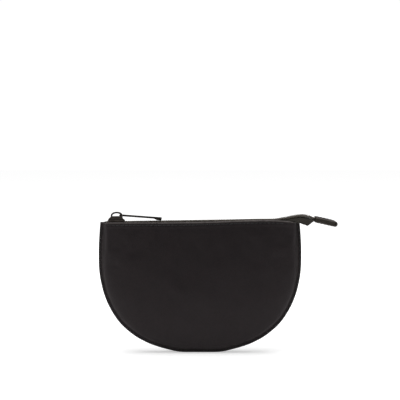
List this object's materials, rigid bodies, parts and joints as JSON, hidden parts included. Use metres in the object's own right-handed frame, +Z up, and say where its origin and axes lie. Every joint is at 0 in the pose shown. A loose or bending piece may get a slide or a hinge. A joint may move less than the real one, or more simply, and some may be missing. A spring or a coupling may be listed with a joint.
{
  "type": "coin purse",
  "caption": "Half-moon leather coin purse, with a coil zip along its straight top, a slim metal pull tab, and a loose zip tail with a folded end tab.",
  "frame": {"origin": "middle of the flat underside of the curved seam, in the plane between the two panels", "axes": "+Z up from the curved bottom to the zip, +X along the zip from the closed slider towards the loose zip tail, -Y the front face"},
  "size_m": [0.1778, 0.0218, 0.1054],
  "materials": {
    "leather": "fine grain, satin",
    "tab_leather": "fine grain, satin",
    "fibre_board": "bonded fibre board, matt",
    "lining": "fine twill",
    "tape": "woven zip tape",
    "coil": "moulded nylon",
    "thread": "bonded thread",
    "black_nickel": "black nickel, polished"
  },
  "bodies": {
    "purse": {"front_panel": "leather", "back_panel": "leather", "front_stiffener": "fibre_board", "back_stiffener": "fibre_board", "front_lining": "lining", "back_lining": "lining", "front_zip_tape": "tape", "back_zip_tape": "tape", "front_coil": "coil", "back_coil": "coil", "front_top_stop": "black_nickel", "back_top_stop": "black_nickel", "seam_stitches_front": "thread", "seam_stitches_back": "thread", "zip_stitches_front": "thread", "zip_stitches_back": "thread"},
    "slider": {"slider_body": "black_nickel", "slider_crown": "black_nickel"},
    "puller": {"pull_tab": "black_nickel"},
    "zip_tail": {"tail_tape_front": "tape", "tail_tape_back": "tape", "tail_coil_front": "coil", "tail_coil_back": "coil"},
    "tail_tab": {"end_tab_leather": "tab_leather", "end_tape_front": "tape", "end_tape_back": "tape", "bottom_stop": "black_nickel", "end_tab_stitches": "thread"}
  },
  "joints": [
    {"name": "slider_travel", "type": "slide", "parent": "purse", "child": "slider", "axis": [0.9999, 0, 0.0146], "range_m": [0, 0.113], "deforming": ["front_coil", "back_coil", "front_zip_tape", "back_zip_tape"]},
    {"name": "pull_tab_swing", "type": "hinge", "parent": "slider", "child": "puller", "pos_m": [-0.05967, 0, 0.10293], "axis": [0, -1, 0], "range_deg": [0, 180]},
    {"name": "tail_bend", "type": "hinge", "parent": "purse", "child": "zip_tail", "pos_m": [0.0745, 0, 0.101], "axis": [0, -1, 0], "range_deg": [-35, 30], "deforming": ["tail_tape_front", "tail_tape_back", "tail_coil_front", "tail_coil_back"]},
    {"name": "end_tab_bend", "type": "hinge", "parent": "zip_tail", "child": "tail_tab", "pos_m": [0.0851, 0, 0.10035], "axis": [0, -1, 0], "range_deg": [-45, 60]}
  ]
}
